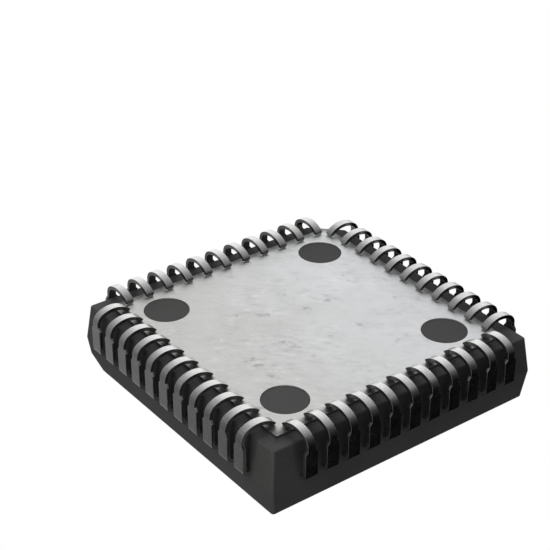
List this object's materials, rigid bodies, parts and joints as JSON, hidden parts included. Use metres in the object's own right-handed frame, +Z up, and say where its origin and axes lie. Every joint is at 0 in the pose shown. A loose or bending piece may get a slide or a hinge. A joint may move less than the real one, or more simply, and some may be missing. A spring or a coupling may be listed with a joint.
{
  "type": "leaded chip carrier",
  "caption": "Square black moulded chip with tin-plated J-shaped leads on all four sides and a metal heat spreader plate set in its underside.",
  "frame": {"origin": "centre of the plane that the soles of the J leads stand on", "axes": "+Z up out of the top face, +Y towards the side with lead 1, leads counted anticlockwise seen from above"},
  "size_m": [0.0176, 0.0176, 0.0042],
  "materials": {
    "mould_compound": "matte epoxy moulding",
    "lead_tin": "satin tin plate",
    "spreader_plate": "frosted nickel plate",
    "frame_copper": "bare copper alloy",
    "die_adhesive": "cured paste",
    "silicon": "polished silicon",
    "bond_gold": "drawn wire"
  },
  "bodies": {
    "root": {"bond_wires_east": "bond_gold", "bond_wires_north": "bond_gold", "bond_wires_south": "bond_gold", "bond_wires_west": "bond_gold", "die_attach": "die_adhesive", "die_pad": "frame_copper", "heat_spreader": "spreader_plate", "lead_01": "lead_tin", "lead_02": "lead_tin", "lead_03": "lead_tin", "lead_04": "lead_tin", "lead_05": "lead_tin", "lead_06": "lead_tin", "lead_07": "lead_tin", "lead_08": "lead_tin", "lead_09": "lead_tin", "lead_10": "lead_tin", "lead_11": "lead_tin", "lead_12": "lead_tin", "lead_13": "lead_tin", "lead_14": "lead_tin", "lead_15": "lead_tin", "lead_16": "lead_tin", "lead_17": "lead_tin", "lead_18": "lead_tin", "lead_19": "lead_tin", "lead_20": "lead_tin", "lead_21": "lead_tin", "lead_22": "lead_tin", "lead_23": "lead_tin", "lead_24": "lead_tin", "lead_25": "lead_tin", "lead_26": "lead_tin", "lead_27": "lead_tin", "lead_28": "lead_tin", "lead_29": "lead_tin", "lead_30": "lead_tin", "lead_31": "lead_tin", "lead_32": "lead_tin", "lead_33": "lead_tin", "lead_34": "lead_tin", "lead_35": "lead_tin", "lead_36": "lead_tin", "lead_37": "lead_tin", "lead_38": "lead_tin", "lead_39": "lead_tin", "lead_40": "lead_tin", "lead_41": "lead_tin", "lead_42": "lead_tin", "lead_43": "lead_tin", "lead_44": "lead_tin", "moulded_body": "mould_compound", "silicon_die": "silicon"}
  },
  "joints": []
}
